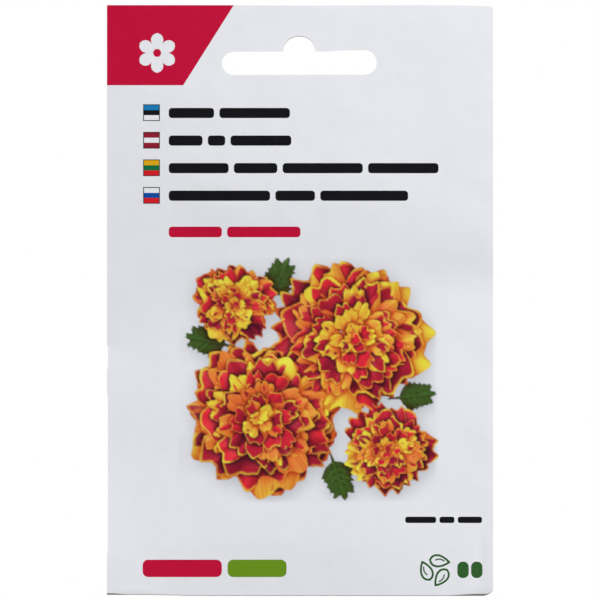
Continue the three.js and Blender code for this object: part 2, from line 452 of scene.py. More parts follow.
def slot_outline(arch_lift):
    """The hang slot: round-ended, with an arch over its middle, whose top is raised by arch_lift."""
    top = SLOT_DROP - SLOT_HALF_HEIGHT
    bottom = SLOT_DROP + SLOT_HALF_HEIGHT
    reach = SLOT_HALF_LENGTH - SLOT_HALF_HEIGHT
    lean = math.degrees(math.asin((ARCH_DROP - top) / ARCH_RADIUS))
    foot = ARCH_RADIUS * math.cos(math.radians(lean))
    loop = []
    for x, drop in arc((0, 0), 1, -180 + lean, -lean, ARC_STEP / ARCH_RADIUS):
        power = ARCH_SQUARENESS
        out = ARCH_RADIUS / (abs(x) ** power + abs(drop) ** power) ** (1 / power)
        loop.append((x * out, ARCH_DROP + drop * out))
    loop += [(x, top) for x in stations(foot, reach)[1:]]
    loop += arc((reach, SLOT_DROP), SLOT_HALF_HEIGHT, -90, 90)
    loop += [(x, bottom) for x in stations(reach, -reach)[1:]]
    loop += arc((-reach, SLOT_DROP), SLOT_HALF_HEIGHT, 90, 270)
    loop += [(x, top) for x in stations(-reach, -foot)[1:]]
    askew = []
    for x, drop in loop:
        upper = float(smooth(SLOT_DROP + 1, top, drop))
        rise = SLOT_RIGHT_RISE * float(smooth(*SLOT_RISE_STRETCH, x))
        lowered = SLOT_SHIFT[1] + upper * (SLOT_PINCH - rise)
        raised = arch_lift * float(smooth(top, top - ARCH_LIFT_SOFTNESS, drop))
        x = SLOT_STRETCH * x + SLOT_SHIFT[0]
        askew.append((x, drop + lowered - raised + x * math.tan(math.radians(SLOT_TILT))))
    return askew


def bar(left, right, top, bottom, radius):
    """A rounded bar."""
    loop = arc((left + radius, top + radius), radius, 180, 270)
    loop += arc((right - radius, top + radius), radius, 270, 360)
    loop += arc((right - radius, bottom - radius), radius, 0, 90)
    loop += arc((left + radius, bottom - radius), radius, 90, 180)
    return loop


def block(left, right, top, bottom):
    """A square-cornered block."""
    return [(left, top), (right, top), (right, bottom), (left, bottom)]


def placed(points, middle, turned):
    """The points, turned by so many degrees and then moved to middle."""
    cos, sin = math.cos(math.radians(turned)), math.sin(math.radians(turned))
    return [(middle[0] + a * cos - b * sin, middle[1] + a * sin + b * cos) for a, b in points]


def seed_shape(middle, length, width, turned):
    """A teardrop whose narrow end is towards turned, in degrees."""
    share = np.linspace(0, 1, 15)
    side = width / 2 * np.sin(math.pi * share ** 0.72) ** 0.8
    along = (share - 0.5) * length
    return placed(list(zip(along, side)) + list(zip(along, -side))[-2:0:-1], middle, turned)


def inside(loop, x, y):
    """Which of the points lie in the loop."""
    result = np.zeros(x.shape, bool)
    for (x1, y1), (x2, y2) in zip(loop, loop[1:] + loop[:1]):
        if y1 != y2:
            result ^= ((y1 > y) != (y2 > y)) & (x < (x2 - x1) * (y - y1) / (y2 - y1) + x1)
    return result


# ---------- the print

def bar_row(left, top, height, widths, colour, gap=BAR_GAP):
    """A row of plain bars."""
    shapes = []
    for width in widths:
        shapes.append((bar(left, left + width, top, top + height, 0.32 * height), colour))
        left += width + gap
    return shapes


def band_square(left, top, colours):
    """A small square of bands with a thin dark edge."""
    shapes = [(block(left, left + SQUARE_SIZE, top, top + SQUARE_SIZE), BLACK)]
    inner = SQUARE_SIZE - 2 * SQUARE_EDGE
    left, top = left + SQUARE_EDGE, top + SQUARE_EDGE
    for i, colour in enumerate(colours):
        upper = top + inner * i / len(colours)
        lower = top + inner * (i + 1) / len(colours)
        shapes.append((block(left, left + inner, upper, lower), colour))
    return shapes


def rosette(middle, radius, petals, colour, heart):
    """A plain pictogram of a flower with round petals."""
    shapes = []
    for k in range(petals):
        turned = 360 * k / petals - 90
        at = towards(middle, 0.55 * radius, math.radians(turned))
        shapes.append((seed_shape(at, 0.92 * radius, 0.62 * radius, turned + 180), colour))
    shapes.append((arc(middle, 0.20 * radius, 0, 340), heart))
    return shapes


def outlined_seed(middle, away, turned):
    """One of the seeds round middle, as a pictogram: an outline with a curved stroke inside."""
    at = towards(middle, away, math.radians(turned))
    lie = turned + 72
    inner = towards(at, -0.10, math.radians(lie))
    half_stroke = 0.14
    stroke = []
    for side, way in ((half_stroke, 1), (-half_stroke, -1)):
        for t in np.linspace(-1, 1, 9)[::way]:
            lean = 0.62 * t
            curve = 0.32 * t ** 2 - 0.40
            stroke.append((0.95 * t - side * math.sin(lean), curve + side * math.cos(lean)))
    return [
        (seed_shape(at, 4.5, 2.75, lie), GREEN),
        (seed_shape(inner, 3.4, 1.9, lie), WHITE),
        (placed(stroke, at, lie), GREEN),
    ]


def front_print():
    """The shapes of ink on the front, each over the ones before it."""
    past, above = -WIDTH / 2 - 1, -1
    right = ((PANEL_RIGHT_ABOVE, above), (PANEL_RIGHT_BELOW, PANEL_BOTTOM))
    shapes = [([(past, above), *right, (past, PANEL_BOTTOM)], CRIMSON)]
    shapes += rosette(ROSETTE_MIDDLE, ROSETTE_RADIUS, 6, WHITE, CRIMSON)
    for i, (colours, widths) in enumerate(LINES):
        top = LINES_TOP + LINE_PITCH * i
        shapes += band_square(SQUARE_LEFT, top, colours)
        shapes += bar_row(BARS_LEFT, top + BAR_DOWN, BAR_HEIGHT, widths, BLACK)
    for row in BAR_ROWS:
        shapes += bar_row(*row)
    for turned in SEED_TURNS:
        shapes += outlined_seed(SEED_MARK, SEED_AWAY, turned)
    return shapes + bar_row(*SEED_BARS)


def back_print():
    """The shapes of ink on the back: paragraphs and months. Both run towards smaller x."""
    shapes = []
    random = np.random.default_rng(PARAGRAPH_SEED)
    begin, full_end = PARAGRAPH_SPAN
    lengths, shortest, gap, rounding = (3.0, 10.5), 4, 0.8, 0.3
    left, width, height = PARAGRAPH_HEADING
    for top, lines in PARAGRAPHS:
        shapes += bar_row(left, top, height, (width,), CRIMSON)
        for k in range(lines):
            end = full_end
            if k == lines - 1:
                end = random.uniform(*LAST_LINE_ENDS)
            upper, lower = (top + edge + PARAGRAPH_PITCH * k for edge in FIRST_LINE)
            x = begin
            while x > end + shortest:
                size = min(random.uniform(*lengths), x - end)
                shapes.append((bar(x - size, x, upper, lower, rounding), GREY))
                x -= size + gap
    for k, colour in enumerate(MONTH_INKS):
        x = begin - MONTH_PITCH * (k + 1) + MONTH_GAP
        shapes.append((bar(x, x + MONTH_WIDTH, *MONTH_DROPS, 0.35), colour))
        shapes.append((bar(x + 1.4, x + 3.3, *MONTH_BAR_DROPS, rounding), GREY))
    return shapes


# ---------- the picture, painted by formula

# Its place on the front, the cells of the raster that it is painted on, and an empty cell's height
PICTURE_LEFT = -25.8
PICTURE_RIGHT = 29.0
PICTURE_TOP = 51.8
PICTURE_BOTTOM = 103.6
RASTER = 0.085
EMPTY = -99.0

# Its own light: where it comes from, and how bright a petal is in the shade and how much brighter
# where it faces the light
LIGHT = np.array([-0.45, 0.62, 0.64]) / math.hypot(0.45, 0.62, 0.64)
IN_SHADE = 0.70
FACING_LIGHT = 0.50
GLOSS = 0.03
GLOSS_POWER = 22

# Cells that were missed between others: how many cells round one are looked at, the share of them
# that has to be drawn on, how much deeper it is set, and how much of their light it gets
PINHOLE_REACH = 3
PINHOLE_SHARE = 0.62
PINHOLE_DEPTH = 2
PINHOLE_LIGHT = 0.5

# Shade in the hollows: how many cells round each are looked at, and how strongly it darkens
HOLLOWS = ((2.5, 0.30), (6, 0.30), (14, 0.45))

# The soft shade on the paper: its blur, its shift down and right, how far from the picture's edges
# it is full, and how much of the paper's light it takes, by colour
SHADE_BLUR = 1.6
SHADE_SHIFT = (0.9, 0.5)
SHADE_MARGIN = 1.5
SHADE_ON_PAPER = (0.42, 0.40, 0.38)

# How soft the print is, in cells
PRINT_BLUR = 0.8

# The posy's leaves: foot, direction and length. Its blossoms: middle, radius, number of petals and
# how much of them is red. Places are x and minus the drop. A blade is a petal or a leaflet, drawn
# as points that are BLADE_STEP apart
LEAVES = (
    ((-7, -62.5), 1.15, 11),
    ((18.2, -81.6), 0.12, 10),
    ((6, -92), -1.25, 11),
    ((-13, -71), 2.9, 11),
)
BLOSSOMS = (
    ((-13.4, -61.9), 8.8, 50, 0.56),
    ((18.2, -91.8), 9.5, 52, 0.56),
    ((10.4, -69.3), 15.9, 78, 0.52),
    ((-8.0, -85.3), 16.6, 82, 0.54),
)
POSY_SEED = 41
GOLDEN_ANGLE = math.pi * (3 - math.sqrt(5))
BLADE_STEP = 0.05


def mix(a, b, share):
    """From a at share 0 to b at share 1."""
    share = np.asarray(share)[..., None]
    return np.asarray(a) * (1 - share) + np.asarray(b) * share


def blurred(image, cells):
    """The image blurred by a bell curve of that many cells."""
    rows, columns = image.shape
    fy = np.fft.fftfreq(rows)[:, None]
    fx = np.fft.rfftfreq(columns)[None, :]
    falloff = np.exp(-2 * (math.pi * cells) ** 2 * (fx ** 2 + fy ** 2))
    return np.fft.irfft2(np.fft.rfft2(image) * falloff, image.shape)


def shaded(colour, shade):
    """The colour in part of the light: red turns darker, and yellow turns orange before that."""
    warmth = smooth(0.04, 0.25, colour[..., 1] / (colour[..., 0] + 1e-6))
    powers = np.stack([1.15 - 0.95 * warmth, 1.0 + 0 * warmth, 0.8 + 0 * warmth], -1)
    return colour * shade[..., None] ** powers


class Canvas:
    """A raster that keeps the highest thing drawn at each cell."""

    def __init__(self):
        self.columns = round((PICTURE_RIGHT - PICTURE_LEFT) / RASTER)
        self.rows = round((PICTURE_BOTTOM - PICTURE_TOP) / RASTER)
        self.height = np.full(self.rows * self.columns, EMPTY)
        self.colour = np.zeros((self.rows * self.columns, 3))

    def draw(self, x, y, z, colour):
        """Draws a grid of points. x is to the right, y up, z towards the viewer."""
        steps = [np.stack([np.gradient(c, axis=a) for c in (x, y, z)], -1) for a in (0, 1)]
        normal = np.cross(steps[0], steps[1])
        normal /= np.linalg.norm(normal, axis=-1, keepdims=True) + 1e-12
        normal *= np.where(normal[..., 2:] < 0, -1, 1)
        halfway = (LIGHT + (0, 0, 1)) / np.linalg.norm(LIGHT + (0, 0, 1))
        facing = np.clip(normal @ LIGHT, 0, 1)
        gloss = np.clip(normal @ halfway, 0, 1) ** GLOSS_POWER
        lit = shaded(colour, IN_SHADE + FACING_LIGHT * facing) + GLOSS * gloss[..., None]
        column = ((x - PICTURE_LEFT) / RASTER).astype(int).ravel()
        row = ((-y - PICTURE_TOP) / RASTER).astype(int).ravel()
        kept = (column >= 0) & (column < self.columns) & (row >= 0) & (row < self.rows)
        cell = (row * self.columns + column)[kept]
        z, lit = z.ravel()[kept], lit.reshape(-1, 3)[kept]
        order = np.argsort(z)
        cell, z, lit = cell[order], z[order], lit[order]
        above = z > self.height[cell]
        self.height[cell[above]] = z[above]
        self.colour[cell[above]] = lit[above]

    def finished(self):
        """The picture's inks, with the soft shade that it has on the paper."""
        height = self.height.reshape(self.rows, self.columns)
        colour = self.colour.reshape(self.rows, self.columns, 3)
        drawn = (height > EMPTY).astype(float)
        height, colour, drawn = self.pinholes_filled(height, colour, drawn)
        surface = np.where(drawn > 0, height, 0)
        for reach, strength in HOLLOWS:
            around = blurred(surface, reach) / (blurred(drawn, reach) + 1e-6)
            hollow = np.clip((around - surface) / (reach * RASTER), 0, 1.6)
            colour = shaded(colour, np.exp(-strength * hollow))
        cover = blurred(drawn, PRINT_BLUR)[..., None]
        inks = [blurred(c * drawn, PRINT_BLUR) for c in np.moveaxis(colour, -1, 0)]
        return self.paper(drawn) * (1 - cover) + np.stack(inks, -1)

    def pinholes_filled(self, height, colour, drawn):
        """The three rasters, with depth and colour in the cells that were missed between others."""
        nearby = blurred(drawn, PINHOLE_REACH)
        pinhole = (drawn == 0) & (nearby > PINHOLE_SHARE)
        nearby = np.maximum(nearby, 1e-6)
        depths = blurred(height * drawn, PINHOLE_REACH) / nearby - PINHOLE_DEPTH
        inks = [blurred(c * drawn, PINHOLE_REACH) for c in np.moveaxis(colour, -1, 0)]
        colours = np.stack(inks, -1) / nearby[..., None]
        height = np.where(pinhole, depths, height)
        colour = np.where(pinhole[..., None], PINHOLE_LIGHT * colours, colour)
        return height, colour, np.where(pinhole, 1.0, drawn)

    def paper(self, drawn):
        """The paper under the picture, with the soft shade on it."""
        shift = tuple(int(length / RASTER) for length in SHADE_SHIFT)
        shade = np.roll(blurred(drawn, SHADE_BLUR / RASTER), shift, (0, 1))
        row, column = np.indices(shade.shape)
        margin = np.minimum.reduce([row, column, self.rows - 1 - row, self.columns - 1 - column])
        shade = np.clip(shade, 0, 1) * smooth(0, SHADE_MARGIN / RASTER, margin)
        return 1 - shade[..., None] * np.array(SHADE_ON_PAPER)


def draw_blade(canvas, random, foot, angle, length, half_width, height, tilt, ruffle, paint):
    """A petal or leaflet from its foot outwards, with its colour given by paint."""
    along = np.linspace(0, 1, int(length / BLADE_STEP) + 8)[:, None]
    across = np.linspace(-1, 1, int(2 * half_width / BLADE_STEP) + 8)[None, :]
    phase = random.uniform(0, 2 * math.pi, 5)
    lobes = random.uniform(0.5, 1.4)
    reach = 1 - 0.30 * np.abs(across) ** 3
    reach = reach + ruffle * 0.09 * np.cos(2 * math.pi * lobes * across + phase[0])
    reach = reach + ruffle * 0.020 * np.cos(4.6 * math.pi * lobes * across + phase[1])
    spread = 0.28 + 0.72 * smooth(0, 0.66, along)
    out = along * length * reach
    side = across * half_width * spread + random.uniform(-0.25, 0.25) * half_width * along ** 2
    cup = random.uniform(-0.40, 0.32) * across ** 2
    fold = random.uniform(-0.18, 0.18) * along * np.cos(2 * math.pi * across + phase[1])
    wave = 0.28 * ruffle * along ** 2.2 * np.sin(2 * math.pi * lobes * across + phase[2])
    droop = 0.42 * length * along ** 2.4 * smooth(0.0, 1.2, tilt + 0.5)
    z = height + out * tilt - droop + half_width * (cup + fold + wave)
    radial = out / math.hypot(1, tilt)
    x = foot[0] + radial * math.cos(angle) - side * math.sin(angle)
    y = foot[1] + radial * math.sin(angle) + side * math.cos(angle)
    canvas.draw(x, y, z, paint(along + 0 * across, across + 0 * along, phase))


def petal_paint(flame, warmth, glow, rim_share, half_width):
    """The colours of a two-coloured petal.

    flame is how much of it is red, glow how bright the red is, warmth how yellow the rest is, and
    rim_share how little red its rim has.
    """
    def paint(along, across, phase):
        rows = across * 7.5 * half_width + 1.2 * np.sin(along * 4 + phase[3]) + phase[1]
        vein = 0.5 + 0.28 * np.sin(rows) + 0.22 * np.sin(2.3 * rows + phase[2] + 1.5 * along)
        wander = 0.10 * np.sin(along * 8 + phase[0]) * np.cos(across * 5 + phase[4])
        wander = wander + 0.07 * np.sin(across * 9 + phase[2])
        sunny = smooth(0.15, 1.0, warmth + 0.75 * along + 0.20 * vein + wander)
        warm = mix(linear(ORANGE), linear(YELLOW), sunny) * (0.94 + 0.06 * vein)[..., None]
        deep = mix(linear(MAROON), linear(RED), np.clip(glow + 0.45 * along + 0.22 * vein, 0, 1))
        off_middle = np.abs(across + 0.5 * np.sin(phase[3]) * (1 - along))
        mask = flame * 1.5 - off_middle ** 2.2 * 0.65 - np.abs(along - 0.70) ** 1.7 * 1.5 + 1.3 * wander
        rim = smooth(0.92, 0.98, np.maximum(np.abs(across), along))
        return mix(warm, deep, smooth(0.20, 0.30, mask) * (1 - rim_share * rim))
    return paint


def leaf_paint(along, across, _):
    """A leaflet's greens, with a rib and veins."""
    rib = 1 - smooth(0.0, 0.16, np.abs(across))
    vein = 0.5 + 0.5 * np.sin(along * 26 - np.abs(across) * 9)
    return mix(linear(LEAF_DARK), linear(LEAF_LIGHT), np.clip(0.25 + 0.5 * rib + 0.30 * vein, 0, 1))


def draw_blossom(canvas, random, middle, radius, petals, flame):
    """A double blossom: petals at the golden angle, smaller and steeper towards the middle."""
    for i in range(petals):
        age = i / (petals - 1)
        tip = radius * math.sqrt(1 - 0.995 * age) * random.uniform(0.90, 1.06)
        tilt = -0.22 + 1.9 * age ** 1.3 + random.uniform(-0.22, 0.22)
        length = radius * (0.72 - 0.42 * age) * random.uniform(0.88, 1.12)
        base = max(-0.1 * radius * age, tip - length / math.hypot(1, tilt))
        half_width = radius * (0.40 - 0.32 * age ** 0.6) * random.uniform(0.8, 1.2)
        height = radius * 0.60 * age ** 0.9
        share = np.clip(flame + random.uniform(-0.50, 0.50) - 0.10 * age, 0.0, 0.95)
        angle = i * GOLDEN_ANGLE + random.uniform(-0.28, 0.28)
        foot = towards(middle, base, angle)
        glow = 0.2 + random.uniform(-0.45, 0.45) + 0.2 * math.sin(angle) + 0.15 * age
        warmth, rim_share = random.uniform(-0.5, 0.4), random.uniform(0.45, 1.0)
        paint = petal_paint(share, warmth, glow, rim_share, half_width)
        draw_blade(canvas, random, foot, angle, length, half_width, height, tilt, 1.0, paint)
    florets = 26
    for i in range(florets):
        angle = i * GOLDEN_ANGLE
        foot = towards(middle, 0.20 * radius * math.sqrt(i / florets), angle)
        paint = petal_paint(0.05, random.uniform(-0.5, 0.3), 0.0, 0.0, 1.0)
        length, half_width, height = 0.17 * radius, 0.045 * radius, 0.46 * radius
        draw_blade(canvas, random, foot, angle, length, half_width, height, 1.4, 0.3, paint)


def draw_leaf(canvas, random, foot, angle, length):
    """A leaf of narrow leaflets in pairs along a rib, with one more at its end."""
    pairs = 5
    for k in range(pairs):
        share = 0.25 + 0.6 * k / pairs
        at = towards(foot, share * length, angle)
        size = (0.40 * length * (1.1 - 0.6 * share), 0.055 * length)
        for aside in (-0.85, 0.85):
            draw_blade(canvas, random, at, angle + aside, *size, -6 + 0.1 * k, 0.15, 0.6, leaf_paint)
    at = towards(foot, 0.62 * length, angle)
    draw_blade(canvas, random, at, angle, 0.38 * length, 0.065 * length, -5, 0.1, 0.6, leaf_paint)
    draw_blade(canvas, random, foot, angle, 0.95 * length, 0.035 * length, -5.5, 0.1, 0.0, leaf_paint)


def posy():
    """The whole picture, from its lowest things to its highest."""
    canvas = Canvas()
    random = np.random.default_rng(POSY_SEED)
    for foot, angle, length in LEAVES:
        draw_leaf(canvas, random, foot, angle, length)
    for middle, radius, petals, flame in BLOSSOMS:
        draw_blossom(canvas, random, middle, radius, petals, flame)
    return canvas.finished()


# ---------- the sheets' meshes

def linked(name, data):
    """A new object in the scene."""
    thing = bpy.data.objects.new(name, data)
    bpy.context.scene.collection.objects.link(thing)
    return thing


def grid_points(left, right, top, bottom, step):
    """An even grid that fills the rectangle."""
    columns = round((right - left) / step) + 1
    rows = round((bottom - top) / step) + 1
    return np.meshgrid(np.linspace(left, right, columns), np.linspace(top, bottom, rows))


def grid_faces(columns, rows):
    """Triangles over a grid of points, row by row."""
    first = (np.arange(rows - 1)[:, None] * columns + np.arange(columns - 1)[None, :]).ravel()
    a, b, c, d = first, first + 1, first + columns + 1, first + columns
    return np.concatenate([np.stack([a, b, c], 1), np.stack([a, c, d], 1)])


def triangulated(loops, points, keep):
    """A triangulation through all loops and points. keep says which triangles stay, by their middles.

    The third result gives each given point's number in it, loops first, or -1 where it isn't used.
    """
    places, edges = [], []
    for loop in loops:
        start = len(places)
        places += loop
        edges += [(start + k, start + (k + 1) % len(loop)) for k in range(len(loop))]
    places += points
    result = delaunay_2d_cdt([Vector(p) for p in places], edges, [], 0, 1e-5, True)
    verts = np.array([(v.x, v.y) for v in result[0]])
    faces = np.array(result[2])
    middle = verts[faces].mean(1)
    faces = faces[keep(middle[:, 0], middle[:, 1])]
    used = np.unique(faces)
    renumber = np.full(len(verts), -1)
    renumber[used] = np.arange(len(used))
    number = np.full(len(places), -1)
    for i, origins in enumerate(result[3]):
        number[origins] = renumber[i]
    return verts[used], renumber[faces], number


def turned_alike(places, faces):
    """The triangles, all turned from +x towards larger drops, and which of them had to be."""
    a, b, c = (places[faces[:, k]] for k in range(3))
    area = (b[:, 0] - a[:, 0]) * (c[:, 1] - a[:, 1]) - (b[:, 1] - a[:, 1]) * (c[:, 0] - a[:, 0])
    return np.where((area < 0)[:, None], faces[:, ::-1], faces), area < 0


def rim_edges(faces):
    """The directed edges that only one triangle has."""
    edges = np.concatenate([faces[:, [0, 1]], faces[:, [1, 2]], faces[:, [2, 0]]])
    low_high = np.sort(edges, 1)
    _, which, count = np.unique(low_high, axis=0, return_index=True, return_counts=True)
    return edges[which[count == 1]]


def off_the_lines(x, drop, loops, clearance):
    """The grid's points that are not crowded against a loop's points."""
    near = np.zeros(x.shape, bool)
    for loop in loops:
        line = np.array(loop)
        low, high = line.min(0) - clearance, line.max(0) + clearance
        box = (x > low[0]) & (x < high[0]) & (drop > low[1]) & (drop < high[1])
        px, pd = x[box], drop[box]
        gap = np.full(len(px), np.inf)
        for (x1, d1), (x2, d2) in zip(line, np.roll(line, -1, 0)):
            length = max((x2 - x1) ** 2 + (d2 - d1) ** 2, 1e-12)
            t = np.clip(((px - x1) * (x2 - x1) + (pd - d1) * (d2 - d1)) / length, 0, 1)
            gap = np.minimum(gap, np.hypot(px - x1 - t * (x2 - x1), pd - d1 - t * (d2 - d1)))
        near[box] |= gap < clearance
    return ~near


def on_paper(cut):
    """A test whether points lie on a sheet, which is an outline and a slot."""
    return lambda x, drop: inside(cut[0], x, drop) & ~inside(cut[1], x, drop)


def sheet_points(step, loops, clearance):
    """The points of an even grid over the sheet that keep off the loops."""
    x, drop = grid_points(-WIDTH / 2, WIDTH / 2, 0, HEIGHT, step)
    free = off_the_lines(x, drop, loops, clearance)
    return list(zip(x[free], drop[free]))


def printed_plan(cut, shapes):
    """A printed face: its places, its triangles, and the ink at each triangle's corners."""
    loops = cut + [loop for loop, _ in shapes]
    points = sheet_points(SHEET_STEP, loops, CLEARANCE)
    places, faces, _ = triangulated(loops, points, on_paper(cut))
    return places, faces, inks_of(places, faces, shapes)


def inks_of(places, faces, shapes):
    """The ink at each triangle's corners: that of the last shape that the triangle lies in."""
    middle = places[faces].mean(1)
    inks = np.ones((len(faces), 3))
    for loop, colour in shapes:
        inks[inside(loop, middle[:, 0], middle[:, 1])] = linear(colour)
    return np.repeat(inks[:, None, :], 3, 1)


def pictured_plan(cut, shapes, picture):
    """The same as printed_plan, with a fine grid for the picture set into the face."""
    left, right, top, bottom = PICTURE_LEFT, PICTURE_RIGHT, PICTURE_TOP, PICTURE_BOTTOM
    px, pd = grid_points(left, right, top, bottom, PICTURE_STEP)
    numbers = np.arange(px.size).reshape(px.shape)
    border = np.concatenate([numbers[0], numbers[1:-1, -1], numbers[-1, ::-1], numbers[-2:0:-1, 0]])
    loops = cut + [loop for loop, _ in shapes]

    def beside(x, drop, gap=0):
        """Which points are beside the picture, by more than the gap."""
        return (x < left - gap) | (x > right + gap) | (drop < top - gap) | (drop > bottom + gap)

    def around(x, drop):
        """Which points are on the paper round the picture."""
        return on_paper(cut)(x, drop) & beside(x, drop)

    points = sheet_points(SHEET_STEP, loops, CLEARANCE)
    points = [point for point in points if beside(*point, SHEET_STEP / 2)]
    picture_edge = list(zip(px.flat[border], pd.flat[border]))
    places, faces, number = triangulated([picture_edge] + loops, points, around)
    own = np.full(px.size, -1)
    own[border] = number[:len(border)]
    fresh = own < 0
    own[fresh] = len(places) + np.arange(fresh.sum())
    corner_inks_and_shade = inks_of(places, faces, shapes)
    row = np.clip(((pd - top) / RASTER).astype(int), 0, picture.shape[0] - 1)
    column = np.clip(((px - left) / RASTER).astype(int), 0, picture.shape[1] - 1)
    grid = grid_faces(px.shape[1], px.shape[0])
    corner_inks_and_shade = np.concatenate([corner_inks_and_shade, picture[row, column].reshape(-1, 3)[grid]])
    places = np.concatenate([places, np.stack([px.flat[fresh], pd.flat[fresh]], 1)])
    return places, np.concatenate([faces, own[grid]]), corner_inks_and_shade


def lined(cut, places, faces):
    """The sheet's other face, coarse but with the same rim.

    The results are its places, its triangles and after them those of the rim between the faces, and
    how many come before the rim's.
    """
    rim = rim_edges(faces)
    rim_loops = ordered_loops(rim)
    loops = [[tuple(places[i]) for i in loop] for loop in rim_loops]
    points = sheet_points(LINING_STEP, loops, LINING_STEP)
    lining, lining_faces, number = triangulated(loops, points, on_paper(cut))
    partner = dict(zip([i for loop in rim_loops for i in loop], number + len(places)))
    rim_faces = [(b, a, partner[a]) for a, b in rim]
    rim_faces += [(b, partner[a], partner[b]) for a, b in rim]
    turned = turned_alike(lining, lining_faces)[0][:, ::-1]
    return lining, np.concatenate([turned + len(places), rim_faces]), len(turned)


def sheet(name, outer, inner, side, cut, plan, material):
    """A closed sheet of paper with its print, and painted shade on its lining and rim. side is -1 where
    its outer face looks towards -Y.
    """
    places, faces, corner_inks_and_shade = plan
    faces, flipped = turned_alike(places, faces)
    corner_inks_and_shade[flipped] = corner_inks_and_shade[flipped][:, ::-1]
    lining, more_faces, lining_count = lined(cut, places, faces)
    # Painted shade: the lining and the rim are coloured darker than bare paper, standing in for shade
    painted_shades = np.full((len(more_faces), 3, 3), LINING_SHADE)
    painted_shades[lining_count:] = RIM_SHADE
    corner_inks_and_shade = np.concatenate([corner_inks_and_shade, painted_shades])
    all_faces = np.concatenate([faces, more_faces])
    if side > 0:
        all_faces, corner_inks_and_shade = all_faces[:, ::-1], corner_inks_and_shade[:, ::-1]
    spread = np.concatenate([places, lining])
    y = np.concatenate([outer(*places.T), inner(*lining.T)])
    points = np.stack([spread[:, 0], y, TOP - spread[:, 1]], 1) * MM
    mesh = bpy.data.meshes.new(name)
    mesh.from_pydata(points.tolist(), [], all_faces.tolist())
    # The colour attribute carries the print, and painted shade on the lining and rim
    ink_and_shade = mesh.color_attributes.new("InkAndShade", "FLOAT_COLOR", "CORNER")
    rgba = np.concatenate([corner_inks_and_shade.reshape(-1, 3), np.ones((len(all_faces) * 3, 1))], 1)
    ink_and_shade.data.foreach_set("color", rgba.astype(np.float32).ravel())
    lay_out(mesh, spread, all_faces, len(faces))
    mesh.shade_smooth()
    mesh.set_sharp_from_angle(angle=math.radians(SHARP_ANGLE))
    mesh.materials.append(material)
    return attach(linked(name, mesh), "root")


def ordered_loops(edges):
    """The closed loops that directed edges make."""
    following = {int(a): int(b) for a, b in edges}
    loops = []
    while following:
        start, at = following.popitem()
        loop = [start]
        while at != start:
            loop.append(at)
            at = following.pop(at)
        loops.append(loop)
    return loops


def lay_out(mesh, plan, faces, outer_count):
    """UVs for the bake: the printed face fills the square's height, the rest lies small beside it."""
    margin = 1.0
    height = HEIGHT + 2 * margin
    across = (plan[:, 0] + WIDTH / 2) / height
    up = 1 - (plan[:, 1] + margin) / height
    uv = np.stack([across, up], 1)[faces]
    small, corner = 0.40, np.array((0.68, 0.02))
    uv[outer_count:] = corner + small * uv[outer_count:]
    layer = mesh.uv_layers.new(name="OFBake")
    layer.data.foreach_set("uv", uv.astype(np.float32).ravel())


# ---------- materials

class Nodes:
    """Short ways to add and join a material's nodes."""

    def __init__(self, name):
        self.material = bpy.data.materials.new(name)
        self.material.use_nodes = True
        self.tree = self.material.node_tree
        self.shader = self.tree.nodes["Principled BSDF"]

    def add(self, kind, inputs=(), **settings):
        """A new node."""
        node = self.tree.nodes.new(kind)
        for key, value in settings.items():
            setattr(node, key, value)
        for key, value in dict(inputs).items():
            self.feed(node.inputs[key], value)
        return node

    def feed(self, socket, value):
        """Gives an input its value, or joins it to the socket that value is."""
        if isinstance(value, bpy.types.NodeSocket):
            self.tree.links.new(value, socket)
        else:
            socket.default_value = value

    def noise(self, per_mm, detail=3.0, roughness=0.5):
        """Noise with so many grains to a millimetre."""
        place = self.add("ShaderNodeTexCoord").outputs["Object"]
        return self.add("ShaderNodeTexNoise", {
            "Vector": place, "Scale": per_mm / MM, "Detail": detail, "Roughness": roughness,
        }).outputs["Fac"]

    def to_range(self, value, low, high):
        """Noise, which mostly lies between 0.3 and 0.7, brought to a range of its own."""
        return self.add("ShaderNodeMapRange", {
            "Value": value, "From Min": 0.3, "From Max": 0.7, "To Min": low, "To Max": high,
        }).outputs["Result"]

    def set(self, name, value):
        """Feeds one of the shader's inputs."""
        self.feed(self.shader.inputs[name], value)


def paper_material(name, tint, roughness, grain):
    """Paper with a faint mottle, short fibres and a slightly uneven surface, under its print and under
    the painted shade of its lining and rim.
    """
    nodes = Nodes(name)
    # The attribute holds the print's colours, and painted shade on the lining and rim
    ink_and_shade = nodes.add("ShaderNodeAttribute", attribute_name="InkAndShade").outputs["Color"]
    mottle = nodes.to_range(nodes.noise(0.35, 4), 0.985, 1.0)
    fleck = nodes.to_range(nodes.noise(5.0, 2), 1.0 - 0.02 * grain, 1.0)
    tone = nodes.add("ShaderNodeMath", {0: mottle, 1: fleck}, operation="MULTIPLY").outputs[0]
    paper = nodes.add("ShaderNodeMix", {
        "Factor": tone, "A": (0, 0, 0, 1), "B": (*linear(tint), 1),
    }, data_type="RGBA").outputs["Result"]
    nodes.set("Base Color", nodes.add("ShaderNodeMix", {
        "Factor": 1.0, "A": paper, "B": ink_and_shade,
    }, data_type="RGBA", blend_type="MULTIPLY").outputs["Result"])
    nodes.set("Roughness", nodes.to_range(nodes.noise(0.8, 3), roughness - 0.05, roughness + 0.05))
    nodes.set("Specular IOR Level", 0.15)
    uneven = nodes.add("ShaderNodeBump", {
        "Height": nodes.noise(0.11, 3), "Strength": 1.0, "Distance": 0.055 * MM,
    }).outputs["Normal"]
    fibres = nodes.add("ShaderNodeBump", {
        "Height": nodes.noise(6.0, 2, 0.7), "Strength": 0.3, "Distance": 0.003 * MM * grain,
        "Normal": uneven,
    }).outputs["Normal"]
    nodes.set("Normal", fibres)
    return nodes.material


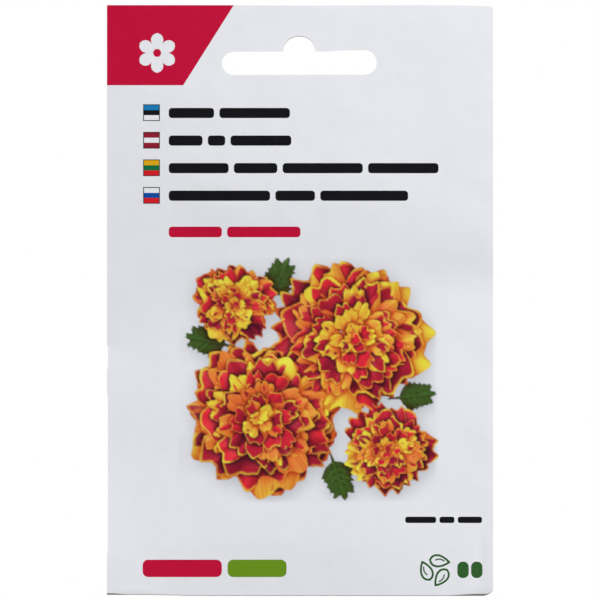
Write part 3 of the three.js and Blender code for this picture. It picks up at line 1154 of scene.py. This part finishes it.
def husk_material():
    """Dry husk: dark, streaked and matte."""
    nodes = Nodes("seed_husk")
    shade = nodes.to_range(nodes.noise(1.2, 5, 0.6), 0.0, 1.0)
    ramp = nodes.add("ShaderNodeValToRGB", {"Fac": shade})
    ramp.color_ramp.elements[0].color = (*linear((0.13, 0.11, 0.10)), 1)
    ramp.color_ramp.elements[1].color = (*linear((0.55, 0.44, 0.28)), 1)
    nodes.set("Base Color", ramp.outputs["Color"])
    nodes.set("Roughness", nodes.to_range(nodes.noise(3.0, 3), 0.6, 0.85))
    nodes.set("Normal", nodes.add("ShaderNodeBump", {
        "Height": nodes.noise(4.0, 4), "Strength": 0.5, "Distance": 0.05 * MM,
    }).outputs["Normal"])
    return nodes.material


# ---------- stage, light and camera

# The view's middle, half its width, and the camera's distance from the packet
VIEW_DROP = 61.1
VIEW_HALF = 62.2 * MM
CAMERA_DISTANCE = 1.5
SENSOR_WIDTH = 36
CENTRE = Vector((0, 0, (TOP - VIEW_DROP) * MM))

# How strongly the studio lights the packet. The floor lies out of the view
STUDIO_LIGHT = 0.06
FLOOR_TONE = 0.62
FLOOR_RADIUS = 3.0
FLOOR_LEVEL = -0.9
FLOOR_SIDES = 64

# The papers' tints, as screen colours
FRONT_TINT = (0.93, 0.935, 0.955)
BACK_TINT = (0.94, 0.935, 0.92)


def camera():
    """A long lens, straight in front of the packet's middle."""
    data = bpy.data.cameras.new("camera")
    data.sensor_width = SENSOR_WIDTH
    data.sensor_fit = "HORIZONTAL"
    data.lens = SENSOR_WIDTH / 2 * CAMERA_DISTANCE / VIEW_HALF
    eye = linked("camera", data)
    eye.location = CENTRE + Vector((0, -CAMERA_DISTANCE, 0))
    eye.rotation_euler = (math.radians(90), 0, 0)
    bpy.context.scene.camera = eye


def lamp(name, place, size, power, spread=180):
    """A square soft light aimed at the packet's middle, which spreads over that many degrees."""
    data = bpy.data.lights.new(name, "AREA")
    data.size = size
    data.energy = power
    data.spread = math.radians(spread)
    light = linked(name, data)
    light.location = CENTRE + Vector(place)
    light.rotation_euler = (-Vector(place)).to_track_quat("-Z", "Y").to_euler()
    light.visible_camera = False


def surroundings():
    """A white studio: what the camera sees is white, and what lights the packet is dimmer."""
    world = bpy.data.worlds.new("studio")
    world.use_nodes = True
    bpy.context.scene.world = world
    tree = world.node_tree
    background = tree.nodes["Background"]
    background.inputs["Color"].default_value = (1, 1, 1, 1)
    seen = tree.nodes.new("ShaderNodeLightPath").outputs["Is Camera Ray"]
    strength = tree.nodes.new("ShaderNodeMapRange")
    strength.inputs["To Min"].default_value = STUDIO_LIGHT
    strength.inputs["To Max"].default_value = 1.0
    tree.links.new(seen, strength.inputs["Value"])
    tree.links.new(strength.outputs["Result"], background.inputs["Strength"])
    bpy.context.scene.view_settings.view_transform = "Standard"


def floor():
    """A plain pale round floor."""
    nodes = Nodes("floor")
    nodes.set("Base Color", (FLOOR_TONE, FLOOR_TONE, FLOOR_TONE, 1))
    nodes.set("Roughness", 0.9)
    turns = [2 * math.pi * k / FLOOR_SIDES for k in range(FLOOR_SIDES)]
    ring = [(*towards((0, 0), FLOOR_RADIUS, t), FLOOR_LEVEL) for t in turns]
    mesh = bpy.data.meshes.new("floor")
    mesh.from_pydata(ring, [], [list(range(FLOOR_SIDES))])
    mesh.materials.append(nodes.material)
    linked("floor", mesh)


camera()
surroundings()
floor()
lamp("key", (1.3, -0.40, 1.7), size=0.7, power=155.0)
lamp("back_fill", (-0.9, 0.42, 1.0), size=0.3, power=0.97, spread=24)

front_cut = [sheet_outline(front_foot, FRONT_CORNER), slot_outline(FRONT_ARCH_LIFT)]
front_plan = pictured_plan(front_cut, front_print(), posy())
front_paper = paper_material("printed_paper", FRONT_TINT, roughness=0.48, grain=1.0)
front = sheet("front_sheet", front_outer, front_inner, -1, front_cut, front_plan, front_paper)
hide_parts("front_panel")

back_cut = [sheet_outline(back_foot, BACK_CORNER), slot_outline(BACK_ARCH_LIFT)]
back_plan = printed_plan(back_cut, back_print())
back_paper = paper_material("back_paper", BACK_TINT, roughness=0.62, grain=1.6)
back = sheet("back_sheet", back_outer, back_inner, 1, back_cut, back_plan, back_paper)
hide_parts("back_panel")

husk = husk_material()
for name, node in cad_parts.items():
    if name.startswith("seed_cluster"):
        node.data.materials.clear()
        node.data.materials.append(husk)
